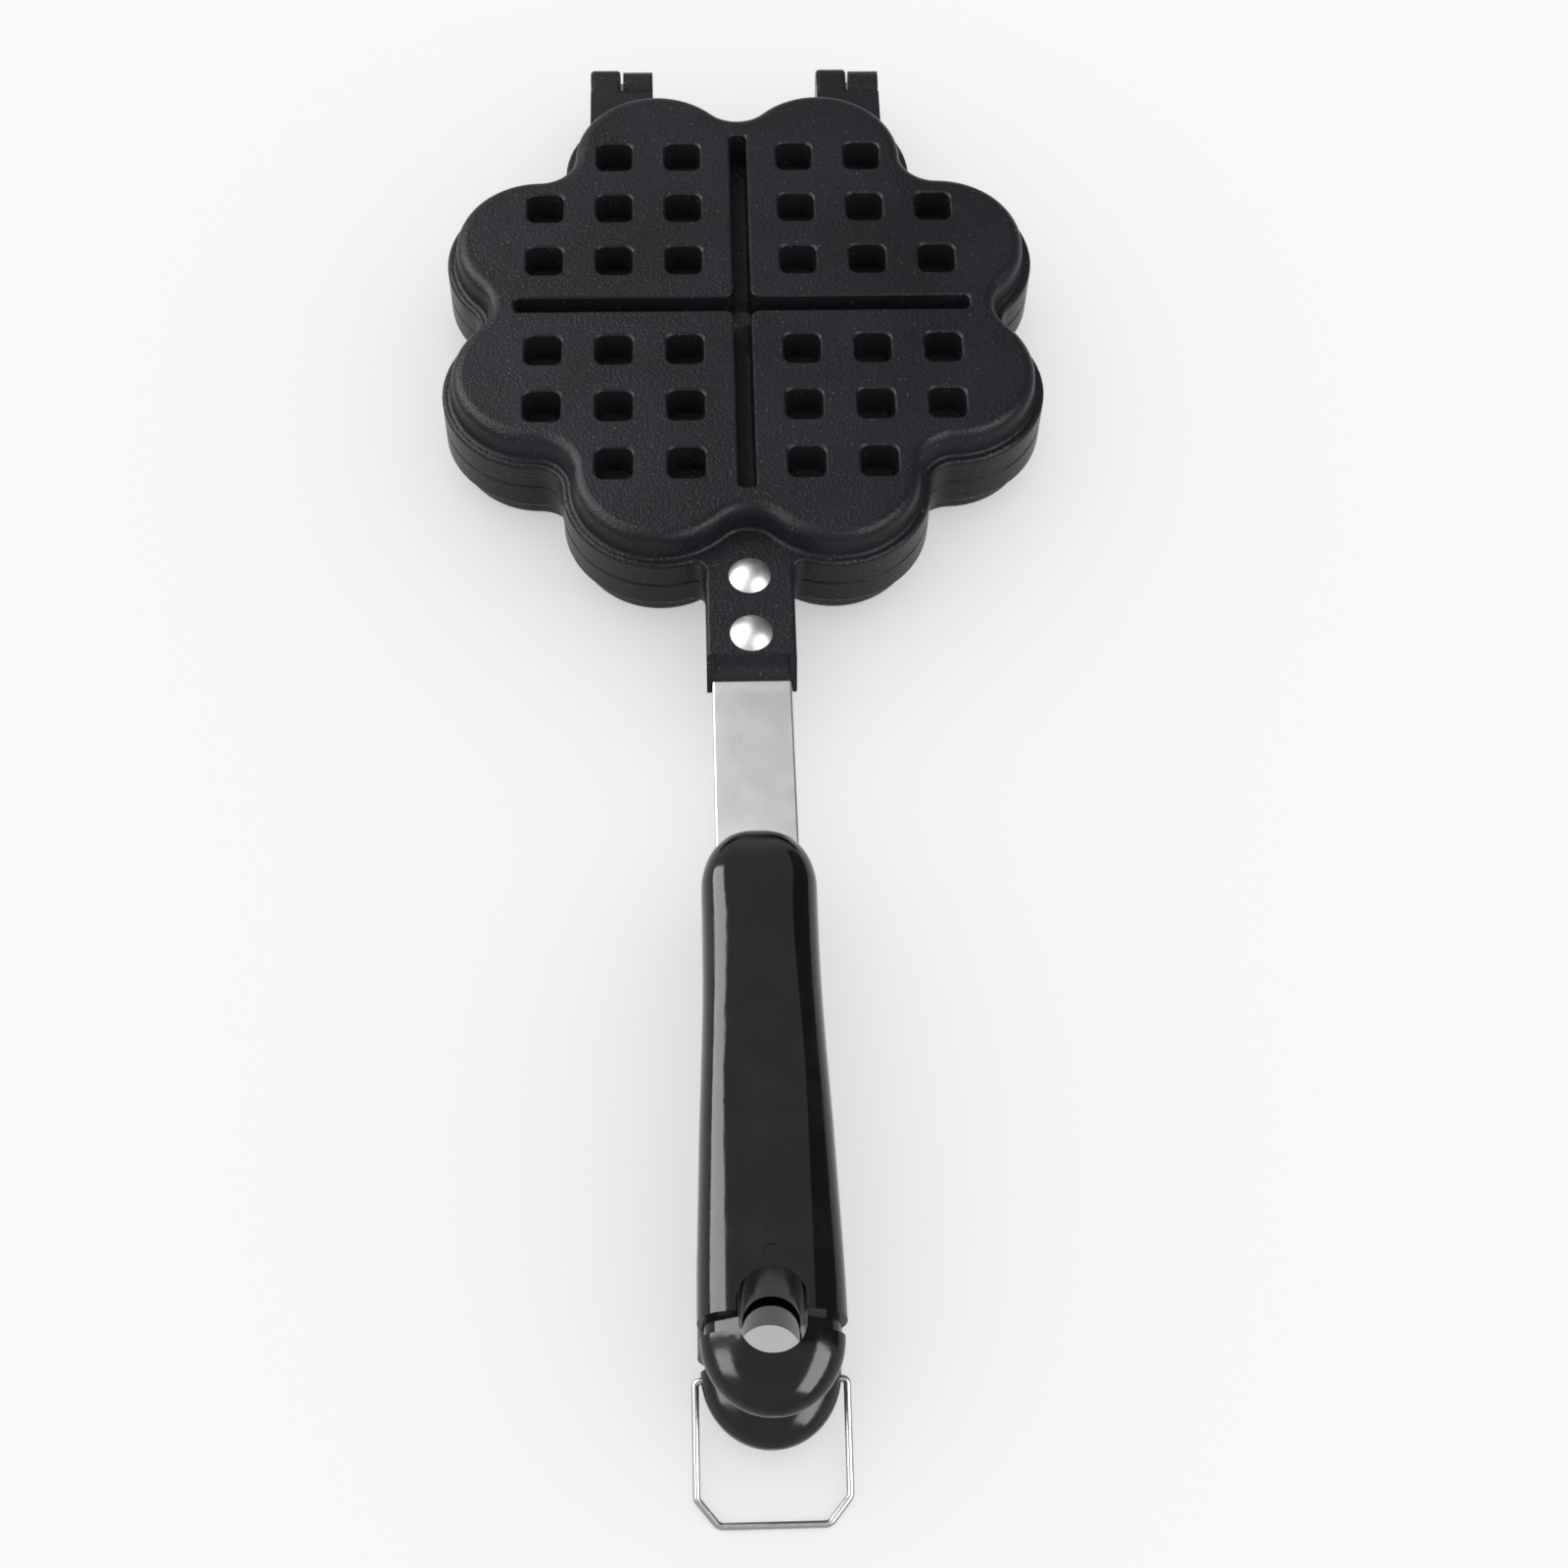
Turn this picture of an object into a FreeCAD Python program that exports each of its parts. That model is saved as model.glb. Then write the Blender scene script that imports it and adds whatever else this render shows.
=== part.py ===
import FreeCAD
import Part
import math
import os

# Stove-top waffle pan: two clover-shaped cast halves on one hinge line, a riveted steel strap
# and a moulded grip on each half, and a wire bail at the end that holds the grips together.
# Origin: centre of the lower half's flat outer face. +Z up, grips towards -Y, hinge towards +Y.
# Both halves are one shape. It is drawn with its parting plane at height zero and its outer
# face up, which is the upper half. The lower half is the same shape turned about the Y axis.

# Outline of a half: lobes around the centre with a round notch between each two
LOBE_COUNT = 8
LOBE_CENTRE_RADIUS = 57.3
LOBE_RADIUS = 21.5
NOTCH_RADIUS = 9.9

# Section of a half
HALF_HEIGHT = 16.2
PARTING_GAP = 0.3
FLANGE_HEIGHT = 8.2
FLANGE_REACH = 3.1
FLANGE_EDGE_ROUND = 1.0
PARTING_EDGE_ROUND = 0.5
WALL_DRAFT = 0.9
TOP_EDGE_ROUND = 3.0
LEDGE_ROUND = 1.0
SHELL = 3.0
CAVITY_DRAFT = 1.4
OVERRUN = 2.0

# Pockets in the outer face, each the back of a peg that stands in the cavity
POCKET_WIDTH = 9.6
POCKET_CORNER = 2.4
POCKET_DEPTH = 8.5
POCKET_TAPER = 1.6
POCKET_FIRST_PLACE = 15.0
POCKET_PITCH = 18.2
POCKET_ROWS = 3
PEG_WALL = 1.8
RIM_BEVEL = 0.45

# Cross of slots in the outer face, each the back of a rib that parts two hearts
SLOT_REACH = 59.2
SLOT_WIDTH = 4.7
SLOT_END_ROUND = 1.5
SLOT_DEPTH = 10.0
SLOT_TAPER = 1.2
SLOT_CROSS_ROUND = 2.4
CROSS_BOSS_HEIGHT = 3.5
CROSS_BOSS_FOOT_RADIUS = 9.0
CROSS_BOSS_TOP_RADIUS = 2.5

# Hinge
HINGE_AXIS_Y = 92.0
KNUCKLE_RADIUS = 5.0
KNUCKLE_CORNER_ROUND = 3.8
KNUCKLE_EDGE_ROUND = 0.9
KNUCKLE_END_GAP = 0.6
KNUCKLE_SIDE_GAP = 0.8
HINGE_INNER_X = 23.0
HINGE_WIDTH = 17.2
PIN_RADIUS = 2.0
PIN_CHAMFER = 0.4
PIN_TIGHT_CLEARANCE = 0.02
RUNNING_CLEARANCE = 0.05

# Lug that carries the strap
LUG_WIDTH = 21.9
LUG_TOP_END_Y = -103.5
LUG_FOOT_END_Y = -109.3
LUG_ROOT_ROUND = 2.6
LUG_SCOOP_RADIUS = 5.1
LUG_SCOOP_WIDTH = 18.4
SEAT_CLEARANCE = 0.2

# Strap
STRAP_WIDTH = 19.4
STRAP_THICKNESS = 1.8
STRAP_EDGE_ROUND = 0.5
STRAP_ABOVE_PARTING = 0.5
STRAP_FRONT_Y = -72.0
STRAP_BEND_Y = -110.5
STRAP_NOSE_Y = -151.0
STRAP_NOSE_RISE = 3.8
STRAP_END_Y = -254.0
STRAP_BEND_RADIUS = 25.0

# Rivets through lug and strap, front one first
RIVET_FRONT_Y = -80.5
RIVET_SPACING = 17.0
RIVET_HEAD_RADIUS = 5.2
RIVET_HEAD_HEIGHT = 2.3
RIVET_SHANK_RADIUS = 2.5
RIVET_TAIL_RADIUS = 3.9
RIVET_TAIL_HEIGHT = 1.2

# Grip
GRIP_NOSE_Y = -152.3
GRIP_END_Y = -292.5
GRIP_WIDTH = 31.7
GRIP_HALF_HEIGHT = 8.0
GRIP_FLAT_WIDTH = 17.6
GRIP_NOSE_LENGTH = 17.0
GRIP_NOSE_MID = 8.9
GRIP_END_MID = 11.5
GRIP_CORNER_WEIGHT = 0.78
GRIP_SLOT_CLEARANCE = 0.1
GROOVE_WIDTH = 3.4
GROOVE_DEPTH = 1.6
GRIP_CAP_LENGTH = 16.8
GRIP_CAP_SIDE_STEP = 0.65
GRIP_CAP_TOP_STEP = 1.5
GRIP_CAP_FLAT_WIDTH = 9.0
HANG_HOLE_WIDTH = 14.5
HANG_HOLE_LENGTH = 18.3
HANG_HOLE_FROM_END = 20.7
HANG_HOLE_TAPER = 2.4
HANG_HOLE_BEVEL = 0.4
HANG_HOLE_ROUND_SHARE = 0.96
MARK_RADIUS = 1.9
MARK_DEPTH = 0.3
MARK_OFFSET = 3.0
# Along the grip from nose to end: place, width, flat's width
GRIP_STATION_SHARES = (
    (0.121, 0.839, 0.86),
    (0.200, 0.836, 0.82),
    (0.290, 0.842, 0.86),
    (0.390, 0.868, 0.94),
    (0.510, 0.912, 0.99),
    (0.670, 0.960, 1.00),
    (0.830, 0.995, 1.00),
)
NOSE_STEP_SHARES = (0.995, 0.96, 0.88, 0.74, 0.52, 0.27, 0.0)
CAP_STEP_SHARES = (0.0, 0.27, 0.52, 0.74, 0.88, 0.96, 0.995)

# Screw that holds the grip on the strap, driven from the side that faces the other grip
SCREW_Y = -206.0
SCREW_HEAD_RADIUS = 3.0
SCREW_HEAD_HEIGHT = 1.6
SCREW_SHANK_RADIUS = 1.5
SCREW_SHANK_LENGTH = 8.5
SCREW_RECESS_WIDTH = 0.9
SCREW_RECESS_DEPTH = 0.8

# Bail: bent wire with both ends in the lower grip's sides
BAIL_WIRE_RADIUS = 0.8
BAIL_PIVOT_Y = -277.4
BAIL_LATCH_GAP = 0.3
BAIL_HALF_WIDTH = 16.35
BAIL_END_INSET = 4.8
BAIL_CHAMFER_ACROSS = 4.6
BAIL_CHAMFER_ALONG = 5.6
BAIL_BEND_RADIUS = 2.2
BAIL_END_BEND_RADIUS = 1.1
BAIL_DROOP_DEGREES = 14.0

V = FreeCAD.Vector
X_AXIS = V(1, 0, 0)
Y_AXIS = V(0, 1, 0)
Z_AXIS = V(0, 0, 1)
ORIGIN = V(0, 0, 0)

FACE_FLOOR = HALF_HEIGHT - SHELL
PARTING_FACE = PARTING_GAP / 2
STRAP_TOP = STRAP_ABOVE_PARTING + STRAP_THICKNESS
STRAP_MIDDLE = STRAP_ABOVE_PARTING + STRAP_THICKNESS / 2
GRIP_LENGTH = GRIP_NOSE_Y - GRIP_END_Y
GROOVE_REAR_Y = GRIP_END_Y + GRIP_CAP_LENGTH
GROOVE_FRONT_Y = GROOVE_REAR_Y + GROOVE_WIDTH
HANG_HOLE_Y = GRIP_END_Y + HANG_HOLE_FROM_END


def polar(radius, angle):
    return V(radius * math.cos(angle), radius * math.sin(angle), 0)


def notch_centre_radius():
    """Distance of a notch's centre that makes its arc touch the two lobes beside it."""
    half_step = math.pi / LOBE_COUNT
    along = LOBE_CENTRE_RADIUS * math.cos(half_step)
    across = LOBE_CENTRE_RADIUS * math.sin(half_step)
    return along + math.sqrt((LOBE_RADIUS + NOTCH_RADIUS) ** 2 - across ** 2)


def petal_wire(offset, height):
    """Outline of lobes and notches as tangent arcs, moved outwards by an offset."""
    half_step = math.pi / LOBE_COUNT
    notch_centre = notch_centre_radius()
    lobe_share = (LOBE_RADIUS + offset) / (LOBE_RADIUS + NOTCH_RADIUS)
    edges = []
    for i in range(LOBE_COUNT):
        angle = half_step * (2 * i + 1)
        lobe = polar(LOBE_CENTRE_RADIUS, angle)
        following = polar(LOBE_CENTRE_RADIUS, angle + 2 * half_step)
        before = polar(notch_centre, angle - half_step)
        after = polar(notch_centre, angle + half_step)
        start = lobe + (before - lobe) * lobe_share
        end = lobe + (after - lobe) * lobe_share
        resume = following + (after - following) * lobe_share
        crown = polar(LOBE_CENTRE_RADIUS + LOBE_RADIUS + offset, angle)
        hollow = polar(notch_centre - NOTCH_RADIUS + offset, angle + half_step)
        edges.append(Part.Arc(start, crown, end).toShape())
        edges.append(Part.Arc(end, hollow, resume).toShape())
    wire = Part.Wire(edges)
    wire.translate(Z_AXIS * height)
    return wire


def petal_block(low_offset, low, high_offset, high):
    """Block between two petal outlines at two heights."""
    return Part.makeLoft([petal_wire(low_offset, low), petal_wire(high_offset, high)], True, True)


def rounded_rectangle(x, y, height, width, depth, corner):
    """Level rectangle with round corners, centred on a place."""
    outer_x = width / 2
    outer_y = depth / 2
    inner_x = outer_x - corner
    inner_y = outer_y - corner
    lean = corner * math.sqrt(0.5)
    edges = []
    for sx, sy in ((1, 1), (-1, 1), (-1, -1), (1, -1)):
        on_side = V(sx * outer_x, sy * inner_y, 0)
        on_end = V(sx * inner_x, sy * outer_y, 0)
        middle = V(sx * (inner_x + lean), sy * (inner_y + lean), 0)
        turning = (on_side, middle, on_end) if sx * sy > 0 else (on_end, middle, on_side)
        if edges:
            edges.append(Part.LineSegment(last, turning[0]).toShape())
        else:
            first = turning[0]
        edges.append(Part.Arc(*turning).toShape())
        last = turning[2]
    edges.append(Part.LineSegment(last, first).toShape())
    wire = Part.Wire(edges)
    wire.translate(V(x, y, height))
    return wire


def tapered_block(x, y, low, high, low_size, high_size, corner):
    """Block with round upright corners that widens from its low to its high size."""
    wires = [
        rounded_rectangle(x, y, low, low_size[0], low_size[1], corner),
        rounded_rectangle(x, y, high, high_size[0], high_size[1], corner),
    ]
    return Part.makeLoft(wires, True, True)


def box(x_range, y_range, z_range):
    corner = V(x_range[0], y_range[0], z_range[0])
    size = (x_range[1] - x_range[0], y_range[1] - y_range[0], z_range[1] - z_range[0])
    return Part.makeBox(size[0], size[1], size[2], corner)


def upright_cylinder(y, low, high, radius):
    return Part.makeCylinder(radius, high - low, V(0, y, low), Z_AXIS)


def cross_cylinder(x_range, y, z, radius):
    return Part.makeCylinder(radius, x_range[1] - x_range[0], V(x_range[0], y, z), X_AXIS)


def pocket_places():
    """Places of the pockets: a grid in each quarter with its outermost corner left out."""
    steps = [POCKET_FIRST_PLACE + POCKET_PITCH * i for i in range(POCKET_ROWS)]
    places = []
    for sx in (1, -1):
        for sy in (1, -1):
            for i, x in enumerate(steps):
                for j, y in enumerate(steps):
                    if i + j < 2 * (POCKET_ROWS - 1):
                        places.append((sx * x, sy * y))
    return places


def pocket_tools():
    """Pocket hollows with a bevelled rim."""
    levels = (
        (HALF_HEIGHT - POCKET_DEPTH, POCKET_WIDTH - POCKET_TAPER),
        (HALF_HEIGHT - RIM_BEVEL, POCKET_WIDTH),
        (HALF_HEIGHT + RIM_BEVEL, POCKET_WIDTH + 4 * RIM_BEVEL),
    )
    tools = []
    for x, y in pocket_places():
        wires = [rounded_rectangle(x, y, z, size, size, POCKET_CORNER) for z, size in levels]
        tools.append(Part.makeLoft(wires, True, True))
    return tools


def peg_blocks():
    """Pegs that stand in the cavity behind the pockets."""
    tip = POCKET_WIDTH - POCKET_TAPER + 2 * PEG_WALL
    root = POCKET_WIDTH + 2 * PEG_WALL
    low = HALF_HEIGHT - POCKET_DEPTH - SHELL
    corner = POCKET_CORNER + PEG_WALL / 2
    return [
        tapered_block(x, y, low, FACE_FLOOR + OVERRUN, (tip, tip), (root, root), corner)
        for x, y in pocket_places()
    ]


def rib_blocks():
    """Two crossing ribs that part the four hearts, as long as the whole half."""
    reach = 2 * (LOBE_CENTRE_RADIUS + LOBE_RADIUS)
    low = HALF_HEIGHT - SLOT_DEPTH - SHELL
    tip = SLOT_WIDTH - SLOT_TAPER + 2 * PEG_WALL
    root = SLOT_WIDTH + 2 * PEG_WALL
    top = FACE_FLOOR + OVERRUN
    corner = SLOT_END_ROUND
    return [
        tapered_block(0, 0, low, top, (reach, tip), (reach, root), corner),
        tapered_block(0, 0, low, top, (tip, reach), (root, reach), corner),
    ]


def slot_cross(low, high, low_size, high_size):
    """Two crossing tapered slots, fused, with round corners where their arms meet."""
    arms = [
        tapered_block(0, 0, low, high, low_size, high_size, SLOT_END_ROUND),
        tapered_block(0, 0, low, high, low_size[::-1], high_size[::-1], SLOT_END_ROUND),
    ]
    cross = arms[0].fuse(arms[1]).removeSplitter()
    return cross.makeFillet(SLOT_CROSS_ROUND, [e for e in cross.Edges if is_inner_corner(e)])


def is_inner_corner(edge):
    """True for the four upright edges where the arms of the slot cross meet."""
    ends = [v.Point for v in edge.Vertexes]
    if len(ends) < 2 or abs(ends[0].z - ends[1].z) < RIM_BEVEL:
        return False
    return all(abs(p.x) < SLOT_WIDTH and abs(p.y) < SLOT_WIDTH for p in ends)


def slot_tool():
    """Cross of slots with rounded inner corners, a raised middle and a bevelled rim."""
    bottom = HALF_HEIGHT - SLOT_DEPTH
    length = 2 * SLOT_REACH
    beyond = SLOT_TAPER / SLOT_DEPTH * OVERRUN
    floor_size = (length - SLOT_TAPER, SLOT_WIDTH - SLOT_TAPER)
    top_size = (length + beyond, SLOT_WIDTH + beyond)
    cross = slot_cross(bottom, HALF_HEIGHT + OVERRUN, floor_size, top_size)
    boss = Part.makeCone(CROSS_BOSS_FOOT_RADIUS, CROSS_BOSS_TOP_RADIUS, CROSS_BOSS_HEIGHT,
                         V(0, 0, bottom), Z_AXIS)
    wide = (length + 4 * RIM_BEVEL, SLOT_WIDTH + 4 * RIM_BEVEL)
    rim = slot_cross(HALF_HEIGHT - RIM_BEVEL, HALF_HEIGHT + RIM_BEVEL, (length, SLOT_WIDTH), wide)
    return cross.cut(boss).fuse(rim)


def half_body():
    """Petal block with a rounded upper edge, on a wider flange that ends in the lug."""
    block = petal_block(WALL_DRAFT, FLANGE_HEIGHT - OVERRUN, 0, HALF_HEIGHT)
    rim = [e for e in block.Edges if all(v.Z > HALF_HEIGHT - PARTING_GAP for v in e.Vertexes)]
    return block.makeFillet(TOP_EDGE_ROUND, rim).fuse(flange_block())


def flange_block():
    """Flange and lug with round corners between them and rounded upper and lower edges."""
    solid = petal_block(FLANGE_REACH, PARTING_FACE, FLANGE_REACH, FLANGE_HEIGHT)
    solid = solid.fuse(lug_block()).removeSplitter()
    solid = solid.makeFillet(LUG_ROOT_ROUND, [e for e in solid.Edges if is_lug_root(e)])
    for height, radius in ((FLANGE_HEIGHT, FLANGE_EDGE_ROUND), (PARTING_FACE, PARTING_EDGE_ROUND)):
        solid = solid.makeFillet(radius, [e for e in solid.Edges if is_outline(e, height)])
    reach = LUG_SCOOP_WIDTH / 2
    scoop = cross_cylinder((-reach, reach), LUG_TOP_END_Y - LUG_SCOOP_RADIUS, FLANGE_HEIGHT,
                           LUG_SCOOP_RADIUS)
    return solid.cut(scoop)


def lug_block():
    """Lug with a sloped end."""
    half = LUG_WIDTH / 2
    root_y = NOTCH_RADIUS + SHELL - notch_centre_radius()
    side = [
        V(-half, root_y, PARTING_FACE),
        V(-half, root_y, FLANGE_HEIGHT),
        V(-half, LUG_TOP_END_Y, FLANGE_HEIGHT),
        V(-half, LUG_FOOT_END_Y, PARTING_FACE),
    ]
    face = Part.Face(Part.makePolygon(side + side[:1]))
    return face.extrude(X_AXIS * LUG_WIDTH)


def is_lug_root(edge):
    """True for the two upright edges where the lug's sides leave the flange."""
    ends = [v.Point for v in edge.Vertexes]
    upright = abs(ends[0].z - ends[1].z) > FLANGE_HEIGHT / 2
    return upright and all(p.y > LUG_TOP_END_Y + LUG_ROOT_ROUND and p.y < 0
                           and abs(abs(p.x) - LUG_WIDTH / 2) < PARTING_GAP for p in ends)


def is_outline(edge, height):
    """True for an edge of the flange and lug at one height, apart from the lug's end."""
    ends = [v.Point for v in edge.Vertexes]
    if any(abs(p.z - height) > PARTING_GAP / 2 for p in ends):
        return False
    return any(p.y > LUG_TOP_END_Y + LUG_ROOT_ROUND for p in ends)


def strap_channel():
    """Channel on the lug's inner side in which the strap lies."""
    reach = STRAP_WIDTH / 2 + SEAT_CLEARANCE
    return box((-reach, reach), (LUG_FOOT_END_Y - OVERRUN, STRAP_FRONT_Y + SEAT_CLEARANCE),
               (-OVERRUN, STRAP_TOP))


def hinge_ranges():
    """Ranges along X of this half's two knuckles: an outer one, then an inner one."""
    width = (HINGE_WIDTH - KNUCKLE_SIDE_GAP) / 2
    outer_x = HINGE_INNER_X + HINGE_WIDTH
    return (-outer_x, width - outer_x), (HINGE_INNER_X, HINGE_INNER_X + width)


def hinge_blocks():
    """Two hinge bases, each with one knuckle that is square outside and round inside."""
    base_end = HINGE_AXIS_Y - KNUCKLE_RADIUS - KNUCKLE_END_GAP
    outer_x = HINGE_INNER_X + HINGE_WIDTH
    blocks = []
    for x_range in ((-outer_x, -HINGE_INNER_X), (HINGE_INNER_X, outer_x)):
        blocks.append(box(x_range, (LOBE_CENTRE_RADIUS, base_end), (PARTING_FACE, KNUCKLE_RADIUS)))
    for x_range in hinge_ranges():
        tip = HINGE_AXIS_Y + KNUCKLE_RADIUS
        arm = box(x_range, (base_end, tip), (PARTING_FACE, KNUCKLE_RADIUS))
        corner = []
        for e in arm.Edges:
            points = [v.Point for v in e.Vertexes]
            if all(p.y > HINGE_AXIS_Y and p.z > PIN_RADIUS for p in points):
                corner.append(e)
        arm = arm.makeFillet(KNUCKLE_CORNER_ROUND, [e for e in corner if is_crosswise(e)])
        tips = [e for e in arm.Edges if is_knuckle_tip(e)]
        blocks.append(arm.makeFillet(KNUCKLE_EDGE_ROUND, tips))
        blocks.append(cross_cylinder(x_range, HINGE_AXIS_Y, 0, KNUCKLE_RADIUS))
    return blocks


def is_crosswise(edge):
    """True for a straight edge along X."""
    ends = [v.Point for v in edge.Vertexes]
    return abs(ends[0].x - ends[1].x) > PIN_RADIUS


def is_knuckle_tip(edge):
    """True for an upright edge at the far end of a knuckle, or for the arc that goes on from it."""
    ends = [v.Point for v in edge.Vertexes]
    apart = [abs(ends[0].x - ends[1].x), abs(ends[0].z - ends[1].z)]
    return all(p.y > HINGE_AXIS_Y for p in ends) and apart[0] < PIN_CHAMFER < apart[1]


def pin_holes(clearance):
    return [cross_cylinder((x[0] - OVERRUN, x[1] + OVERRUN), HINGE_AXIS_Y, 0,
                           PIN_RADIUS + clearance) for x in hinge_ranges()]


def rivet_places():
    return RIVET_FRONT_Y, RIVET_FRONT_Y - RIVET_SPACING


def is_ledge_corner(edge):
    """True for an edge at the foot of the petal wall, where it meets the ledge."""
    if any(abs(v.Z - FLANGE_HEIGHT) > PARTING_GAP for v in edge.Vertexes):
        return False
    middle = edge.valueAt((edge.FirstParameter + edge.LastParameter) / 2)
    wall = Part.Wire(petal_wire(WALL_DRAFT * (HALF_HEIGHT - FLANGE_HEIGHT)
                                / (HALF_HEIGHT - FLANGE_HEIGHT + OVERRUN), FLANGE_HEIGHT))
    return wall.distToShape(Part.Vertex(middle))[0] < PARTING_GAP


def plate():
    """One cast half before its pin holes: body, lug and hinge, with pegs and ribs inside."""
    solid = half_body().fuse(hinge_blocks()).removeSplitter()
    solid = solid.makeFillet(LEDGE_ROUND, [e for e in solid.Edges if is_ledge_corner(e)])
    cavity = petal_block(CAVITY_DRAFT - SHELL, -OVERRUN, -SHELL, FACE_FLOOR)
    cavity = cavity.cut(peg_blocks() + rib_blocks())
    shank = RIVET_SHANK_RADIUS + RUNNING_CLEARANCE
    holes = [upright_cylinder(y, -OVERRUN, FLANGE_HEIGHT + OVERRUN, shank) for y in rivet_places()]
    solid = solid.cut([cavity, strap_channel()])
    return solid.cut(pocket_tools() + holes + [slot_tool()])


def strap_points():
    """Middle line of the strap, side view: flat in the lug, then rising, then along the grip."""
    slope = (GRIP_END_MID - GRIP_NOSE_MID) / GRIP_LENGTH
    nose_z = STRAP_MIDDLE + STRAP_NOSE_RISE
    return [
        (STRAP_FRONT_Y, STRAP_MIDDLE),
        (STRAP_BEND_Y, STRAP_MIDDLE),
        (STRAP_NOSE_Y, nose_z),
        (STRAP_END_Y, nose_z + slope * (STRAP_NOSE_Y - STRAP_END_Y)),
    ]


def bent_bar(points, half_thickness, width, bend_radius):
    """Flat bar along a side-view path, with a tangent arc at each bend."""
    paths = []
    for side in (1, -1):
        stations = []
        for i, (y, z) in enumerate(points):
            here = V(0, y, z)
            if i == 0 or i == len(points) - 1:
                other = points[1] if i == 0 else points[i - 1]
                along = (V(0, other[0], other[1]) - here).normalize()
                if i > 0:
                    along = along * -1
                stations.append([here + along.cross(X_AXIS) * (side * half_thickness)])
                continue
            inward = (here - V(0, *points[i - 1])).normalize()
            outward = (V(0, *points[i + 1]) - here).normalize()
            turn = inward.getAngle(outward)
            reach = bend_radius * math.tan(turn / 2)
            sense = 1 if inward.cross(outward).x > 0 else -1
            normal_in = inward.cross(X_AXIS)
            normal_out = outward.cross(X_AXIS)
            centre = here - inward * reach - normal_in * (bend_radius * sense)
            radius = bend_radius + side * sense * half_thickness
            middle = (normal_in + normal_out).normalize()
            stations.append([centre + n * (radius * sense) for n in
                             (normal_in, middle, normal_out)])
        paths.append(stations)
    edges = []
    for stations in paths:
        for before, after in zip(stations, stations[1:]):
            edges.append(Part.LineSegment(before[-1], after[0]).toShape())
        for station in stations[1:-1]:
            edges.append(Part.Arc(*station).toShape())
    for end in (0, -1):
        edges.append(Part.LineSegment(paths[0][end][0], paths[1][end][0]).toShape())
    face = Part.Face(Part.Wire(Part.__sortEdges__(edges)))
    bar = face.extrude(X_AXIS * width)
    bar.translate(X_AXIS * (-width / 2))
    return bar


def strap():
    """Flat steel bar with rounded edges, two rivet holes and the hole for the grip's screw."""
    bar = bent_bar(strap_points(), STRAP_THICKNESS / 2, STRAP_WIDTH, STRAP_BEND_RADIUS)
    rims = [e for e in bar.Edges if abs(e.Vertexes[0].X - e.Vertexes[1].X) < STRAP_THICKNESS]
    bar = bar.makeFillet(STRAP_EDGE_ROUND, rims)
    tools = []
    for y in rivet_places():
        tools.append(upright_cylinder(y, -OVERRUN, STRAP_TOP + OVERRUN,
                                      RIVET_SHANK_RADIUS + RUNNING_CLEARANCE))
        tools.append(tail_cone(y, RUNNING_CLEARANCE))
    tools.append(upright_cylinder(SCREW_Y, 0, GRIP_END_MID, SCREW_SHANK_RADIUS + SEAT_CLEARANCE))
    return bar.cut(tools)


def tail_cone(y, clearance):
    """Flared end of a rivet, flush with the strap's inner face."""
    return Part.makeCone(RIVET_TAIL_RADIUS + clearance, RIVET_SHANK_RADIUS + clearance,
                         RIVET_TAIL_HEIGHT, V(0, y, STRAP_ABOVE_PARTING), Z_AXIS)


def rivet(y):
    """Domed rivet: head on the lug, shank through lug and strap, flared tail."""
    head, height = RIVET_HEAD_RADIUS, RIVET_HEAD_HEIGHT
    sphere_radius = (head ** 2 + height ** 2) / (2 * height)
    centre = V(0, y, FLANGE_HEIGHT + height - sphere_radius)
    ball = Part.makeSphere(sphere_radius, centre)
    dome = ball.common(upright_cylinder(y, FLANGE_HEIGHT, FLANGE_HEIGHT + height + OVERRUN, head))
    shank = upright_cylinder(y, STRAP_ABOVE_PARTING, FLANGE_HEIGHT, RIVET_SHANK_RADIUS)
    return dome.fuse([shank, tail_cone(y, 0)]).removeSplitter()


def grip_middle(y):
    """Height of the grip's middle line, which rises evenly from nose to end."""
    share = (GRIP_NOSE_Y - y) / GRIP_LENGTH
    return GRIP_NOSE_MID + (GRIP_END_MID - GRIP_NOSE_MID) * share


def grip_section(y, middle, half_width, half_height, flat):
    """Section across the grip: a flat above and below, joined by full round sides."""
    half_flat = flat / 2
    edges = []
    for sx, sz in ((1, 1), (-1, 1), (-1, -1), (1, -1)):
        face = middle + sz * half_height
        side = V(sx * half_width, y, middle)
        corner = V(sx * half_width, y, face)
        top = V(sx * half_flat, y, face)
        poles = [side, corner, top] if sx * sz > 0 else [top, corner, side]
        curve = Part.BezierCurve()
        curve.setPoles(poles)
        curve.setWeight(2, GRIP_CORNER_WEIGHT)
        edges.append(curve.toShape())
        if sx * sz > 0:
            end = V(-sx * half_flat, y, face)
            edges.append(Part.LineSegment(top, end).toShape())
    return Part.Wire(edges)


def round_share(step):
    """Height of a quarter circle of radius one at a step along it."""
    return math.sqrt(1 - step ** 2)


def grip_nose():
    """Rounded nose of the grip, which comes down to the strap."""
    shoulder = GRIP_NOSE_Y - GRIP_NOSE_LENGTH
    first = GRIP_STATION_SHARES[0]
    mouth_z = STRAP_MIDDLE + STRAP_NOSE_RISE
    sections = []
    for step in NOSE_STEP_SHARES:
        share = round_share(step)
        middle = mouth_z + (grip_middle(shoulder) - mouth_z) * share
        sections.append(grip_section(shoulder + GRIP_NOSE_LENGTH * step, middle,
                                     GRIP_WIDTH / 2 * first[1] * share,
                                     GRIP_HALF_HEIGHT * share,
                                     GRIP_FLAT_WIDTH * first[2] * share ** 2))
    return Part.makeLoft(sections, True, False)


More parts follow.
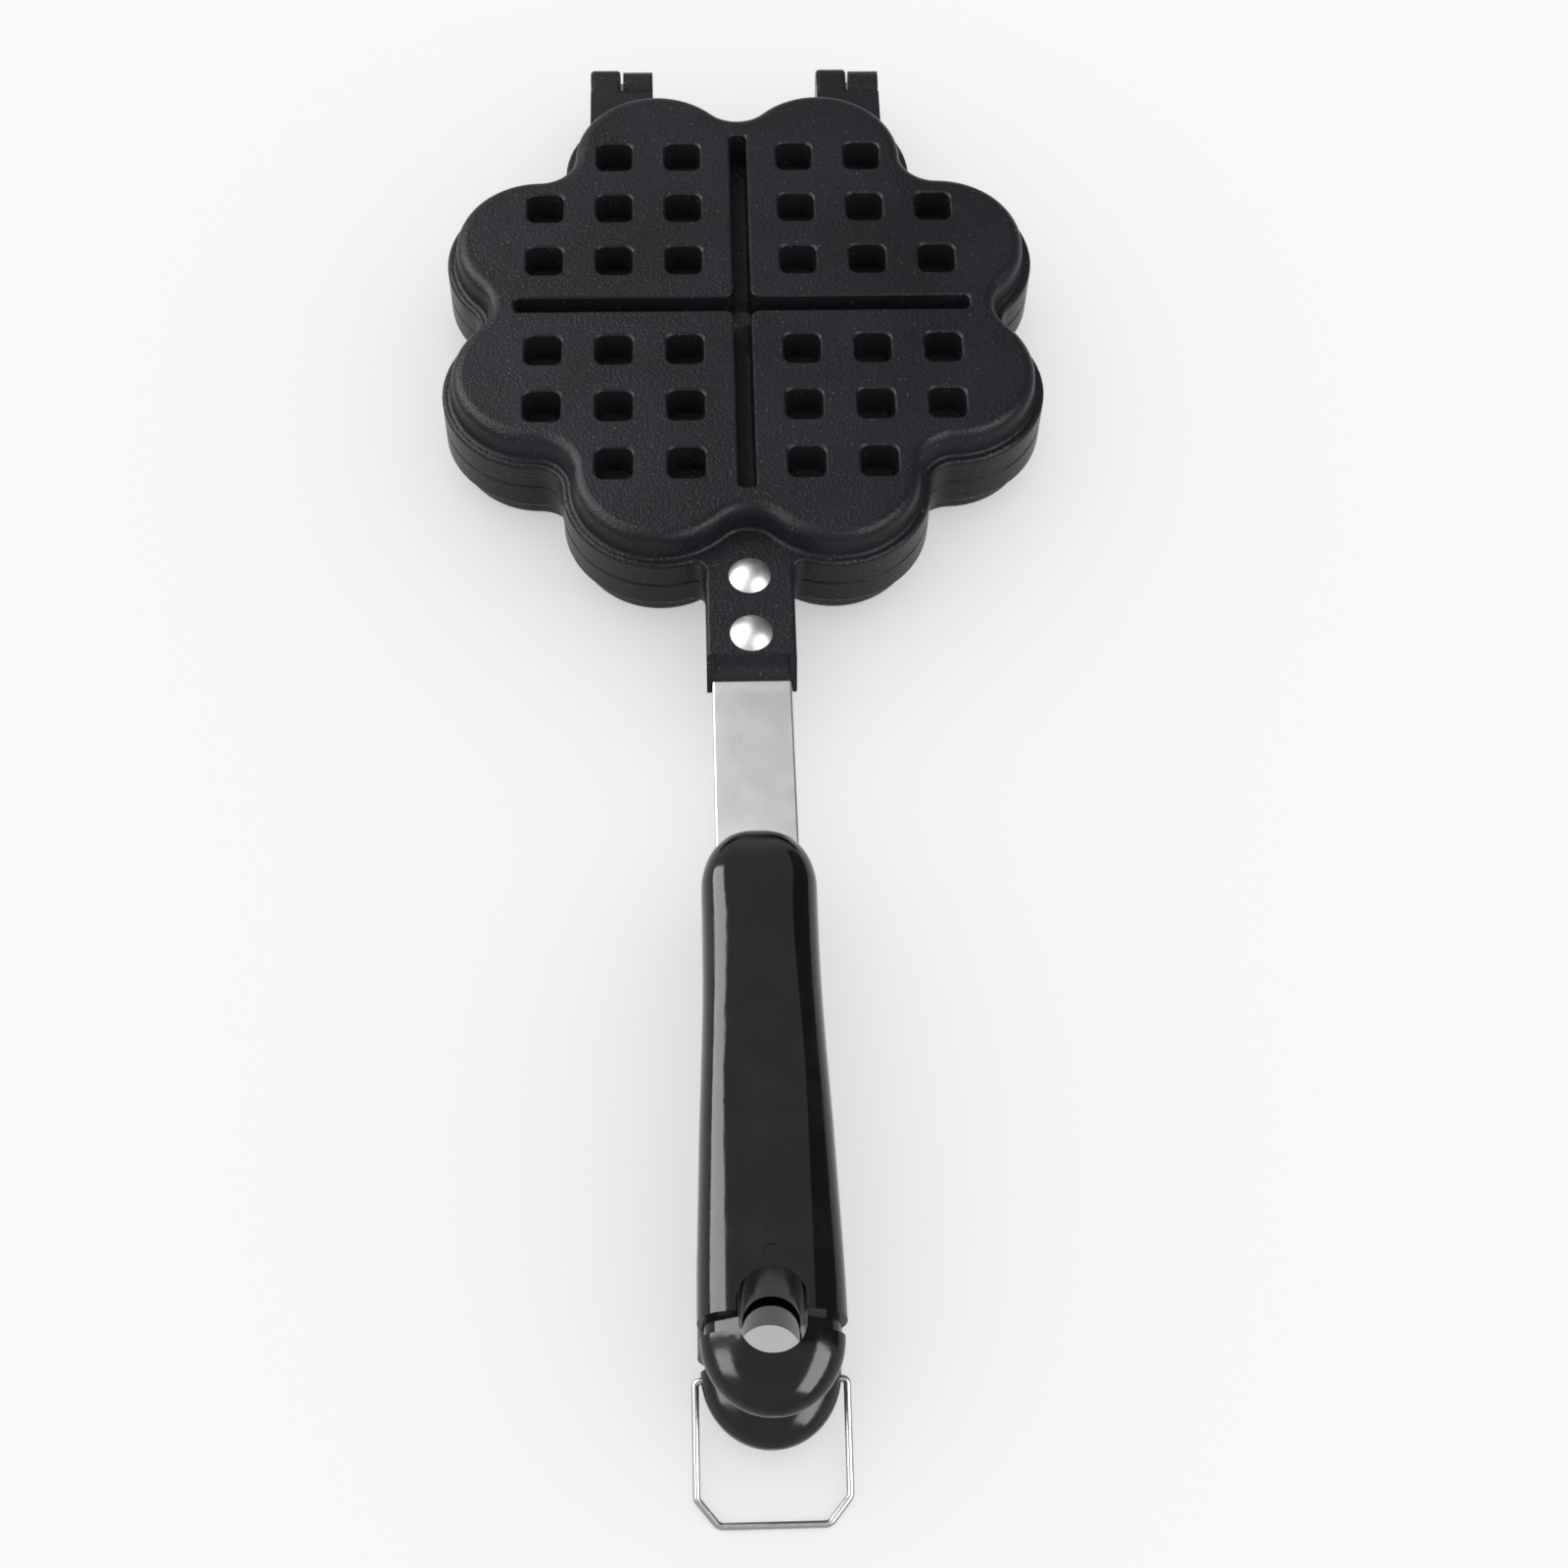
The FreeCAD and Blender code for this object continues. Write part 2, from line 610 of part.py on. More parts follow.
def grip_body():
    """Grip from the nose to the groove."""
    shoulder = GRIP_NOSE_Y - GRIP_NOSE_LENGTH
    stations = [(GRIP_NOSE_Y - GRIP_LENGTH * s[0],) + s[1:] for s in GRIP_STATION_SHARES[1:]]
    stations.insert(0, (shoulder,) + GRIP_STATION_SHARES[0][1:])
    stations.append((GROOVE_FRONT_Y,) + GRIP_STATION_SHARES[-1][1:])
    sections = []
    for y, width, flat in stations:
        sections.append(grip_section(y, grip_middle(y), GRIP_WIDTH / 2 * width,
                                     GRIP_HALF_HEIGHT, GRIP_FLAT_WIDTH * flat))
    return Part.makeLoft(sections, True, False)


def grip_cap():
    """Rounded end of the grip behind the groove."""
    half_width = GRIP_WIDTH / 2 - GRIP_CAP_SIDE_STEP
    half_height = GRIP_HALF_HEIGHT - GRIP_CAP_TOP_STEP
    sections = []
    for step in CAP_STEP_SHARES:
        share = round_share(step)
        y = GROOVE_REAR_Y - GRIP_CAP_LENGTH * step
        sections.append(grip_section(y, grip_middle(y), half_width * share,
                                     half_height * share, GRIP_CAP_FLAT_WIDTH * share))
    return Part.makeLoft(sections, True, False)


def groove_core():
    """Smaller neck at the groove, let into the body and the cap."""
    half_width = GRIP_WIDTH / 2 - GROOVE_DEPTH
    half_height = GRIP_HALF_HEIGHT - GROOVE_DEPTH
    sections = []
    for y in (GROOVE_FRONT_Y + GROOVE_DEPTH, GROOVE_REAR_Y - GROOVE_DEPTH / 2):
        sections.append(grip_section(y, grip_middle(y), half_width, half_height,
                                     GRIP_CAP_FLAT_WIDTH))
    return Part.makeLoft(sections, True, True)


def hang_hole_tool():
    """Oblong hole through the grip, widest at the outer face, with a bevelled rim there."""
    y = HANG_HOLE_Y
    middle = grip_middle(y)
    low = middle - GRIP_HALF_HEIGHT - OVERRUN
    high = middle + GRIP_HALF_HEIGHT
    narrow, rim = -HANG_HOLE_TAPER, 4 * HANG_HOLE_BEVEL
    wires = []
    for z, more in ((low, narrow), (high - HANG_HOLE_BEVEL, 0), (high + HANG_HOLE_BEVEL, rim)):
        width = HANG_HOLE_WIDTH + more
        corner = width / 2 * HANG_HOLE_ROUND_SHARE
        wires.append(rounded_rectangle(0, y, z, width, HANG_HOLE_LENGTH + more, corner))
    return Part.makeLoft(wires, True, True)


def screw_face():
    """Height of the grip's inner face where the screw goes in, and of the head's seat."""
    face = grip_middle(SCREW_Y) - GRIP_HALF_HEIGHT
    return face, face + SCREW_HEAD_HEIGHT + SEAT_CLEARANCE * 2


def grip():
    """Moulded grip with a slot for the strap, a hanging hole and a moulding mark."""
    body = grip_body().fuse([grip_nose(), groove_core(), grip_cap()]).removeSplitter()
    path = strap_points()[1:]
    end_y, end_z = path[-1]
    path[-1] = (end_y - SEAT_CLEARANCE, end_z)
    slot = bent_bar(path, STRAP_THICKNESS / 2 + GRIP_SLOT_CLEARANCE,
                    STRAP_WIDTH + 2 * GRIP_SLOT_CLEARANCE, STRAP_BEND_RADIUS)
    mark_y = HANG_HOLE_Y + HANG_HOLE_LENGTH / 2 + MARK_OFFSET
    top = grip_middle(mark_y) + GRIP_HALF_HEIGHT
    mark = upright_cylinder(mark_y, top - MARK_DEPTH, top + OVERRUN, MARK_RADIUS)
    face, seat = screw_face()
    recess = upright_cylinder(SCREW_Y, face - OVERRUN, seat, SCREW_HEAD_RADIUS + SEAT_CLEARANCE)
    thread = upright_cylinder(SCREW_Y, face, seat + SCREW_SHANK_LENGTH + SEAT_CLEARANCE,
                              SCREW_SHANK_RADIUS + RUNNING_CLEARANCE)
    return body.cut([slot, mark, recess, thread, hang_hole_tool()])


def grip_screw():
    """Countersunk pan-head screw with a cross recess."""
    face, seat = screw_face()
    low = seat - SCREW_HEAD_HEIGHT
    head = upright_cylinder(SCREW_Y, low, seat, SCREW_HEAD_RADIUS)
    shank = upright_cylinder(SCREW_Y, seat, seat + SCREW_SHANK_LENGTH, SCREW_SHANK_RADIUS)
    half = SCREW_RECESS_WIDTH / 2
    reach = SCREW_HEAD_RADIUS * 2 / 3
    depths = (low - OVERRUN, low + SCREW_RECESS_DEPTH)
    recess = [
        box((-reach, reach), (SCREW_Y - half, SCREW_Y + half), depths),
        box((-half, half), (SCREW_Y - reach, SCREW_Y + reach), depths),
    ]
    return head.fuse(shank).removeSplitter().cut(recess)


def hinge_pin(side):
    """Pin with chamfered ends through the two knuckles on one side."""
    inner = HINGE_INNER_X
    outer = inner + HINGE_WIDTH
    x_range = (inner, outer) if side > 0 else (-outer, -inner)
    pin = cross_cylinder(x_range, HINGE_AXIS_Y, 0, PIN_RADIUS)
    ends = [e for e in pin.Edges if len(e.Vertexes) == 1]
    return pin.makeChamfer(PIN_CHAMFER, ends)


def bail_pivot():
    """Place of the bail's pivot in the closed pan."""
    return V(0, BAIL_PIVOT_Y, HALF_HEIGHT - grip_middle(BAIL_PIVOT_Y))


def bail_reach():
    """Arm length at which the latched crossbar lies just over the upper grip's groove."""
    groove_y = (GROOVE_FRONT_Y + GROOVE_REAR_Y) / 2
    floor = HALF_HEIGHT + grip_middle(groove_y) + GRIP_HALF_HEIGHT - GROOVE_DEPTH
    rise = floor + BAIL_LATCH_GAP + BAIL_WIRE_RADIUS - bail_pivot().z
    return math.hypot(groove_y - BAIL_PIVOT_Y, rise)


def rounded_path(points, radii):
    """Wire of straight runs joined by tangent arcs, one radius for each inner point."""
    edges = []
    last = points[0]
    for before, here, after, radius in zip(points, points[1:], points[2:], radii):
        back = (before - here).normalize()
        ahead = (after - here).normalize()
        half_angle = back.getAngle(ahead) / 2
        reach = radius / math.tan(half_angle)
        start = here + back * reach
        end = here + ahead * reach
        bisector = (back + ahead).normalize()
        middle = here + bisector * (radius / math.sin(half_angle) - radius)
        edges.append(Part.LineSegment(last, start).toShape())
        edges.append(Part.Arc(start, middle, end).toShape())
        last = end
    edges.append(Part.LineSegment(last, points[-1]).toShape())
    return Part.Wire(edges)


def bail():
    """Wire loop at rest behind the grips, with its ends turned in towards each other."""
    droop = math.radians(BAIL_DROOP_DEGREES)
    away = V(0, -math.cos(droop), -math.sin(droop))
    pivot = bail_pivot()
    tip_x = BAIL_HALF_WIDTH - BAIL_END_INSET
    reach = bail_reach()
    shoulder = away * (reach - BAIL_CHAMFER_ALONG)
    bar = away * reach
    bar_x = BAIL_HALF_WIDTH - BAIL_CHAMFER_ACROSS
    right = [
        pivot + X_AXIS * tip_x,
        pivot + X_AXIS * BAIL_HALF_WIDTH,
        pivot + X_AXIS * BAIL_HALF_WIDTH + shoulder,
        pivot + X_AXIS * bar_x + bar,
    ]
    left = [V(-p.x, p.y, p.z) for p in reversed(right)]
    radii = [BAIL_END_BEND_RADIUS] + [BAIL_BEND_RADIUS] * 4 + [BAIL_END_BEND_RADIUS]
    path = rounded_path(right + left, radii)
    circle = Part.makeCircle(BAIL_WIRE_RADIUS, right[0], X_AXIS)
    return path.makePipeShell([Part.Wire(circle)], True, False)


def bail_holes():
    """Blind holes in the lower grip's sides for the ends of the bail."""
    pivot = bail_pivot()
    inner = BAIL_HALF_WIDTH - BAIL_END_INSET - SEAT_CLEARANCE
    outer = GRIP_WIDTH / 2 + OVERRUN
    radius = BAIL_WIRE_RADIUS + RUNNING_CLEARANCE
    return [cross_cylinder(x, pivot.y, pivot.z, radius)
            for x in ((inner, outer), (-outer, -inner))]


def as_upper(shape):
    placed = shape.copy()
    placed.translate(Z_AXIS * HALF_HEIGHT)
    return placed


def as_lower(shape):
    placed = shape.copy()
    placed.rotate(ORIGIN, Y_AXIS, 180)
    placed.translate(Z_AXIS * HALF_HEIGHT)
    return placed


def build():
    """All nodes by name, in the closed pan."""
    front, rear = rivet_places()
    casting = plate()
    bar = strap()
    handle = grip()
    screw = grip_screw()
    nodes = {
        "lower_plate": as_lower(casting.cut(pin_holes(PIN_TIGHT_CLEARANCE))),
        "upper_plate": as_upper(casting.cut(pin_holes(RUNNING_CLEARANCE))),
        "lower_grip": as_lower(handle).cut(bail_holes()),
        "upper_grip": as_upper(handle),
        "hinge_pin_left": as_upper(hinge_pin(-1)),
        "hinge_pin_right": as_upper(hinge_pin(1)),
        "bail": bail(),
    }
    for name, place in (("lower", as_lower), ("upper", as_upper)):
        nodes[name + "_strap"] = place(bar)
        nodes[name + "_grip_screw"] = place(screw)
        nodes[name + "_front_rivet"] = place(rivet(front))
        nodes[name + "_rear_rivet"] = place(rivet(rear))
    return nodes


os.makedirs("parts", exist_ok=True)
for node, shape in build().items():
    print(node, shape.ShapeType, len(shape.Solids), shape.isValid(), round(shape.Volume, 2))
    shape.exportStep(os.path.join("parts", node + ".step"))
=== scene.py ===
"""Stove-top waffle pan: finishes for the castings, grips and metalwork, and a plain studio."""

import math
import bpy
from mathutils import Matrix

bl_info = {
    "name": "Stove-top waffle pan",
    "version": (1, 0, 0),
    "blender": (4, 5, 0),
    "location": "3D View > Sidebar > Waffle Pan",
    "description": "Finishes a hinged clover-shaped waffle pan and lights it in a plain studio",
    "category": "Object",
}

import bpy
import numpy as np
from bpy.props import FloatProperty, FloatVectorProperty, PointerProperty
from mathutils import Matrix, Vector

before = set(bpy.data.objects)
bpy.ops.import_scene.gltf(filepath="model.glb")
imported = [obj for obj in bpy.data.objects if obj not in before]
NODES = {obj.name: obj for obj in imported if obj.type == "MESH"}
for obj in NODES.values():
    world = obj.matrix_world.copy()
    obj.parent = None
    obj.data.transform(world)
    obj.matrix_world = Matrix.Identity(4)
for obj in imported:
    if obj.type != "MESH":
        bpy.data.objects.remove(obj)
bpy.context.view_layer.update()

MM = 0.001
HALVES = ("lower", "upper")

# Casting: how its noise turns into clouds, and into light flecks on the grain's peaks that are painted
# glints, and what these do to the coating

CASTING_SPECULAR = 0.11
PAINTED_GLINT_RANGE = (0.64, 0.76)
PAINTED_GLINT_COVER = 0.6
PAINTED_GLINT_POLISH = 0.12
CLOUD_IN_GRAINS = 40
CLOUD_RANGE = (0.35, 0.65)
CLOUD_TINT = (1.3, 1.3, 1.3)
CLOUD_DULLING = 0.10
NOISE_MIDDLE = 0.5

# Grips: smudges, and flow lines and ripples that run along the grip

GRIP_SPECULAR = 0.32
SMUDGE_WIDTH = 14 * MM
SMUDGE_RANGE = (0.42, 0.75)
SMUDGE_TINT = (2.0, 2.0, 2.0)
FLOW_WIDTH = 2.2 * MM
FLOW_STRETCH = (1.0, 0.05, 1.0)
FLOW_DULLING = 0.03
FLOW_HEIGHT_SHARE = 0.1
RIPPLE_WIDTH = 12 * MM
RIPPLE_STRETCH = (1.0, 0.3, 1.0)
RIPPLE_DEPTH = 0.01 * MM

# Straps: lines of the rolled sheet, and warmer and cooler patches

PATCH_WIDTH = 9 * MM
PATCH_RANGE = (0.35, 0.65)
PATCH_DULLING = 0.08
COOL_TINT = (0.94, 0.94, 0.97)
ROLLED_LINE_WIDTH = 0.5 * MM
ROLLED_LINE_STRETCH = (1.0, 0.03, 1.0)
ROLLED_LINE_DEPTH = 0.02 * MM
ROLLED_LINE_DULLING = 0.08

# Rivets, wire, pins and screws: wear of the polish

WEAR_WIDTH = 1.6 * MM
WEAR_DEPTH = 0.03 * MM
WEAR_RANGE = (0.3, 0.7)
WEAR_TINT = (0.94, 0.94, 0.94)
WEAR_DULLING = 0.12

# Floor, lamps and card, in metres in the pan's frame

FLAT_FACE_TOLERANCE = 0.01 * MM
FLOOR_GAP = 0.05 * MM
FLOOR_REACH = 6.0
FLOOR_COLOUR = (0.82, 0.82, 0.82)
FLOOR_GLOW = 0.42
LAMPS = {
    "side_lamp": {"place": (-0.74, 0.45, 0.75), "aim": (0, 0.45, 0), "size": (0.80, 1.25)},
    "left_window": {"place": (-0.74, -0.37, 0.69), "aim": (0, -0.35, 0), "size": (0.40, 0.62)},
    "right_window": {"place": (0.72, -0.58, 0.80), "aim": (0, -0.28, 0), "size": (0.95, 0.72)},
}
SHADE_UPPER_EDGE = (0.16, 1.15)
SHADE_LOWER_EDGE = (1.6, -0.05)
SHADE_ENDS = (-0.1, 2.2)


# Shader maths


class Value:
    """One output of a shader node. Arithmetic on it adds Math nodes to its tree."""

    def __init__(self, finish, socket):
        self.finish = finish
        self.socket = socket

    def maths(self, operation, first, second):
        """Math node on two values, either of which may be a plain number."""
        return self.finish.node("ShaderNodeMath", {"operation": operation}, {0: first, 1: second})

    def __add__(self, other):
        return self.maths("ADD", self, other)

    def __radd__(self, other):
        return self.maths("ADD", other, self)

    def __sub__(self, other):
        return self.maths("SUBTRACT", self, other)

    def __rsub__(self, other):
        return self.maths("SUBTRACT", other, self)

    def __mul__(self, other):
        return self.maths("MULTIPLY", self, other)

    def __rmul__(self, other):
        return self.maths("MULTIPLY", other, self)

    def or_more(self, other):
        """The greater of the two values."""
        return self.maths("MAXIMUM", self, other)

    def step(self, low, high):
        """Rises smoothly from 0 at low to 1 at high."""
        return self.finish.node(
            "ShaderNodeMapRange",
            {"interpolation_type": "SMOOTHSTEP"},
            {"Value": self, "From Min": low, "From Max": high},
        )


class Finish:
    """A node tree under construction, with one method that adds any node."""

    def __init__(self, tree):
        self.tree = tree
        tree.nodes.clear()

    def node(self, kind, settings, inputs, output=0):
        """Adds a node, sets it up, fills its sockets with numbers or links, returns one output."""
        made = self.tree.nodes.new(kind)
        for name, setting in settings.items():
            setattr(made, name, setting)
        for key, value in inputs.items():
            if isinstance(value, Value):
                self.tree.links.new(value.socket, made.inputs[key])
            else:
                made.inputs[key].default_value = value
        return Value(self, made.outputs[output]) if made.outputs else None

    def place(self):
        """Place on the piece, in the frame's metres."""
        return self.node("ShaderNodeTexCoord", {}, {}, "Object")

    def stretched(self, scale):
        """Place with each axis scaled, for a pattern that is longer one way."""
        return self.node("ShaderNodeMapping", {}, {"Vector": self.place(), "Scale": scale})

    def noise(self, grain, detail=2.0, rough=0.5, place=None):
        """Noise from 0 to 1 whose patches are about one grain across, in metres."""
        inputs = {
            "Vector": place or self.place(),
            "Scale": 1 / grain,
            "Detail": detail,
            "Roughness": rough,
        }
        return self.node("ShaderNodeTexNoise", {}, inputs)

    def blend(self, mask, low, high):
        """Colour that goes from low to high as the mask goes from 0 to 1."""
        factor, first_colour, second_colour, mixed_colour = 0, 6, 7, 2
        inputs = {factor: mask, first_colour: opaque(low), second_colour: opaque(high)}
        return self.node("ShaderNodeMix", {"data_type": "RGBA"}, inputs, mixed_colour)

    def bump(self, height, depth, strength):
        """Normal bent by a height map whose full range is one depth, in metres."""
        return self.node("ShaderNodeBump", {}, {"Height": height, "Distance": depth, "Strength": strength})

    def surface(self, inputs):
        """Principled shader with these sockets, joined to the output."""
        shader = self.node("ShaderNodeBsdfPrincipled", {}, inputs)
        self.node("ShaderNodeOutputMaterial", {}, {"Surface": shader})


def opaque(colour):
    """Colour for a socket that also takes an alpha."""
    return colour if isinstance(colour, Value) else (*colour, 1.0)


def tinted(colour, tint):
    """Colour with each channel multiplied by the tint's."""
    return [channel * share for channel, share in zip(colour, tint)]


def new_material(name):
    """Empty material, and the Finish that its nodes are made with."""
    made = bpy.data.materials.new(name)
    made.use_nodes = True
    return made, Finish(made.node_tree)


def dress(node_names, made):
    """Gives each of these nodes the material as its only one."""
    for name in node_names:
        mesh = NODES[name].data
        mesh.materials.clear()
        mesh.materials.append(made)


def of_halves(*stems):
    """Names of these nodes in the lower and in the upper half."""
    return [half + "_" + stem for stem in stems for half in HALVES]


# Sizes and colours that a user would change


def colour_of(name, description, default):
    return FloatVectorProperty(name=name, description=description, subtype="COLOR", default=default)


def share_of(name, description, default):
    return FloatProperty(
        name=name,
        description=description,
        subtype="FACTOR",
        min=0,
        max=1,
        default=default,
    )


def length_of(name, description, default):
    return FloatProperty(name=name, description=description, unit="LENGTH", default=default)


def angle_of(name, description, degrees):
    turn = math.radians(degrees)
    return FloatProperty(name=name, description=description, subtype="ANGLE", default=turn)


def brightness_of(name, description, default):
    return FloatProperty(name=name, description=description, min=0, default=default)


class CastingFinish(bpy.types.PropertyGroup):
    """Coating of the two cast halves."""

    colour: colour_of("Coating", "Colour of the coating", (0.0190, 0.0193, 0.0240))
    # Flecks: painted glints, a light colour on the peaks of the coating's grain
    painted_glint_colour: colour_of("Fleck", "Colour of the fine light flecks in the coating", (0.32, 0.323, 0.34))
    roughness: share_of("Roughness", "How matt the coating is", 0.30)
    grain: length_of("Grain", "Width of one grain of the blasted surface", 0.85 * MM)
    grain_depth: length_of("Grain depth", "Height of the blasted surface's grains", 0.21 * MM)


class GripFinish(bpy.types.PropertyGroup):
    """Moulded plastic of the grips."""

    colour: colour_of("Plastic", "Colour of the moulded plastic", (0.0055, 0.0055, 0.0058))
    roughness: share_of("Roughness", "How matt the moulded skin is", 0.11)
    smudge: share_of("Smudges", "How much handling dulls the skin in places", 0.10)


class MetalFinish(bpy.types.PropertyGroup):
    """Sheet, wire and rivets."""

    strap_colour: colour_of("Strap", "Colour of the sheet steel straps", (0.57, 0.558, 0.545))
    strap_roughness: share_of("Strap roughness", "How matt the straps are", 0.22)
    rivet_colour: colour_of("Rivets", "Colour of the polished rivets", (0.44, 0.44, 0.44))
    rivet_roughness: share_of("Rivet roughness", "How matt the rivets are", 0.38)
    wire_colour: colour_of("Wire", "Colour of the bail, the screws and the pins", (0.34, 0.333, 0.325))
    wire_roughness: share_of("Wire roughness", "How matt the bail is", 0.24)
    fitting_roughness: share_of("Fitting roughness", "How matt the screws and pins are", 0.30)


class Studio(bpy.types.PropertyGroup):
    """Camera and lamps."""

    azimuth: angle_of("Azimuth", "Turn of the camera from looking along the grips", 3.93)
    elevation: angle_of("Elevation", "Angle at which the camera looks down", 59.43)
    roll: angle_of("Roll", "Turn of the camera about its own axis", 2.49)
    camera_place: FloatVectorProperty(
        name="Camera place",
        description="Where the camera stands in the pan's frame",
        subtype="TRANSLATION",
        default=(-15.0 * MM, -454.8 * MM, 558.1 * MM),
    )
    lens: FloatProperty(
        name="Lens",
        description="Focal length on a 36 mm wide sensor",
        unit="CAMERA",
        default=60.57,
    )
    ambient: brightness_of("Room light", "Brightness of the pale room on the pan's matt surfaces", 0.8)
    side_light: brightness_of("Side light", "Brightness of the soft lamp high on the left", 9.5)
    window_light: brightness_of("Window light", "Brightness of the two soft lamps at the near end", 8.5)
    shade: brightness_of("Shade", "Brightness of the dim card on the right", 0.12)


# Finishes


def coated_casting(settings):
    """Near-black coating over blasted metal: fine grain, faint clouding, and light flecks on the grain's
    peaks that are painted glints.
    """
    made, finish = new_material("coated_casting")
    grain = finish.noise(settings.grain, detail=3.0, rough=0.6)
    cloud = finish.noise(CLOUD_IN_GRAINS * settings.grain, detail=3.0)
    # Painted glints: the grain's peaks get a light colour and a smoother polish
    painted_glint = grain.step(*PAINTED_GLINT_RANGE)
    clouded = tinted(settings.colour, CLOUD_TINT)
    body = finish.blend(cloud.step(*CLOUD_RANGE), settings.colour, clouded)
    dulling = CLOUD_DULLING * (cloud - NOISE_MIDDLE) - PAINTED_GLINT_POLISH * painted_glint
    finish.surface({
        "Base Color": finish.blend(painted_glint * PAINTED_GLINT_COVER, body, settings.painted_glint_colour),
        "Roughness": settings.roughness + dulling,
        "Specular IOR Level": CASTING_SPECULAR,
        "Normal": finish.bump(grain, settings.grain_depth, strength=1.0),
    })
    return made


def moulded_plastic(settings):
    """Glossy black plastic with long faint flow lines and duller handled patches."""
    made, finish = new_material("moulded_plastic")
    smudge = finish.noise(SMUDGE_WIDTH, detail=4.0, rough=0.6).step(*SMUDGE_RANGE)
    flow = finish.noise(FLOW_WIDTH, place=finish.stretched(FLOW_STRETCH))
    ripple = finish.noise(RIPPLE_WIDTH, detail=1.0, place=finish.stretched(RIPPLE_STRETCH))
    smudged = tinted(settings.colour, SMUDGE_TINT)
    finish.surface({
        "Base Color": finish.blend(smudge, settings.colour, smudged),
        "Roughness": settings.roughness + settings.smudge * smudge + FLOW_DULLING * flow,
        "Specular IOR Level": GRIP_SPECULAR,
        "Normal": finish.bump(flow * FLOW_HEIGHT_SHARE + ripple, RIPPLE_DEPTH, strength=0.3),
    })
    return made


def sheet_steel(settings):
    """Satin sheet steel: rolled lines along the strap and faint warm and cool patches."""
    made, finish = new_material("sheet_steel")
    patch = finish.noise(PATCH_WIDTH, detail=3.0)
    lines = finish.noise(ROLLED_LINE_WIDTH, place=finish.stretched(ROLLED_LINE_STRETCH))
    cool = tinted(settings.strap_colour, COOL_TINT)
    dulling = ROLLED_LINE_DULLING * lines + PATCH_DULLING * patch
    finish.surface({
        "Base Color": finish.blend(patch.step(*PATCH_RANGE), cool, settings.strap_colour),
        "Metallic": 1.0,
        "Roughness": settings.strap_roughness + dulling,
        "Normal": finish.bump(lines, ROLLED_LINE_DEPTH, strength=0.4),
    })
    return made


def polished_metal(name, colour, roughness):
    """Bright metal whose polish varies a little."""
    made, finish = new_material(name)
    wear = finish.noise(WEAR_WIDTH, detail=3.0)
    finish.surface({
        "Base Color": finish.blend(wear.step(*WEAR_RANGE), tinted(colour, WEAR_TINT), colour),
        "Metallic": 1.0,
        "Roughness": roughness + WEAR_DULLING * wear,
        "Normal": finish.bump(wear, WEAR_DEPTH, strength=0.3),
    })
    return made


# Stage


def vertices(name):
    """Vertices of a node at rest, one row each."""
    mesh = NODES[name].data
    flat = np.empty(3 * len(mesh.vertices))
    mesh.vertices.foreach_get("co", flat)
    return flat.reshape(-1, 3)


def rest_slope():
    """Rise of the floor per metre, and the far edge of the flat face that the pan rests on.

    The floor turns about that edge until it meets the lower grip or the bail, so its rise is the
    greatest of height divided by distance from the edge, over all their vertices.
    """
    plate = vertices("lower_plate")
    far_edge = plate[plate[:, 2] < FLAT_FACE_TOLERANCE, 1].max()
    near_parts = np.vstack((vertices("lower_grip"), vertices("bail")))
    slope = (near_parts[:, 2] / (near_parts[:, 1] - far_edge)).max()
    return slope, far_edge


def stage_sheet(name, points, made):
    """Sheet of one face through four points in order, with the material, linked to the scene."""
    mesh = bpy.data.meshes.new(name)
    mesh.from_pydata(points, [], [(0, 1, 2, 3)])
    mesh.materials.append(made)
    sheet = bpy.data.objects.new(name, mesh)
    bpy.context.scene.collection.objects.link(sheet)
    return sheet


def floor():
    """Square sheet under the pan: height is the slope times the distance from the far edge."""
    slope, far_edge = rest_slope()
    x = FLOOR_REACH * np.array((-1, 1, 1, -1))
    y = FLOOR_REACH * np.array((-1, -1, 1, 1))
    z = slope * (y - far_edge) - FLOOR_GAP
    stage_sheet("floor", np.column_stack((x, y, z)).tolist(), floor_material())


def floor_material():
    """Matt white, lifted to the backdrop's white where the backdrop itself is seen."""
    made, finish = new_material("pale_floor")
    matt = finish.node("ShaderNodeBsdfDiffuse", {}, {"Color": opaque(FLOOR_COLOUR)})
    strength = shows_background(finish) * FLOOR_GLOW
    glow = finish.node("ShaderNodeEmission", {}, {"Strength": strength})
    both = finish.node("ShaderNodeAddShader", {}, {0: matt, 1: glow})
    finish.node("ShaderNodeOutputMaterial", {}, {"Surface": both})
    return made


def shows_background(finish):
    """1 on rays that show the backdrop itself: to the camera, in gloss and through glass."""
    straight = finish.node("ShaderNodeLightPath", {}, {}, "Is Camera Ray")
    glossy = finish.node("ShaderNodeLightPath", {}, {}, "Is Glossy Ray")
    through = finish.node("ShaderNodeLightPath", {}, {}, "Is Transmission Ray")
    return straight.or_more(glossy).or_more(through)


def room(ambient):
    """Even pale room, white where it is seen as the backdrop."""
    world = bpy.data.worlds.new("room")
    world.use_nodes = True
    finish = Finish(world.node_tree)
    strength = ambient + (1.0 - ambient) * shows_background(finish)
    light = finish.node("ShaderNodeBackground", {}, {"Strength": strength})
    finish.node("ShaderNodeOutputWorld", {}, {"Surface": light})
    bpy.context.scene.world = world


def lamp(name, radiance):
    """Soft rectangular lamp that only gloss sees, with its first side level, facing its aim."""
    place, aim = Vector(LAMPS[name]["place"]), Vector(LAMPS[name]["aim"])
    width, length = LAMPS[name]["size"]
    data = bpy.data.lights.new(name, "AREA")
    data.shape = "RECTANGLE"
    data.size = width
    data.size_y = length
    data.energy = radiance * math.pi * width * length
    made = bpy.data.objects.new(name, data)
    bpy.context.scene.collection.objects.link(made)
    made.location = place
    made.rotation_euler = (aim - place).to_track_quat("-Z", "Y").to_euler()
    made.visible_camera = False
    made.visible_diffuse = False


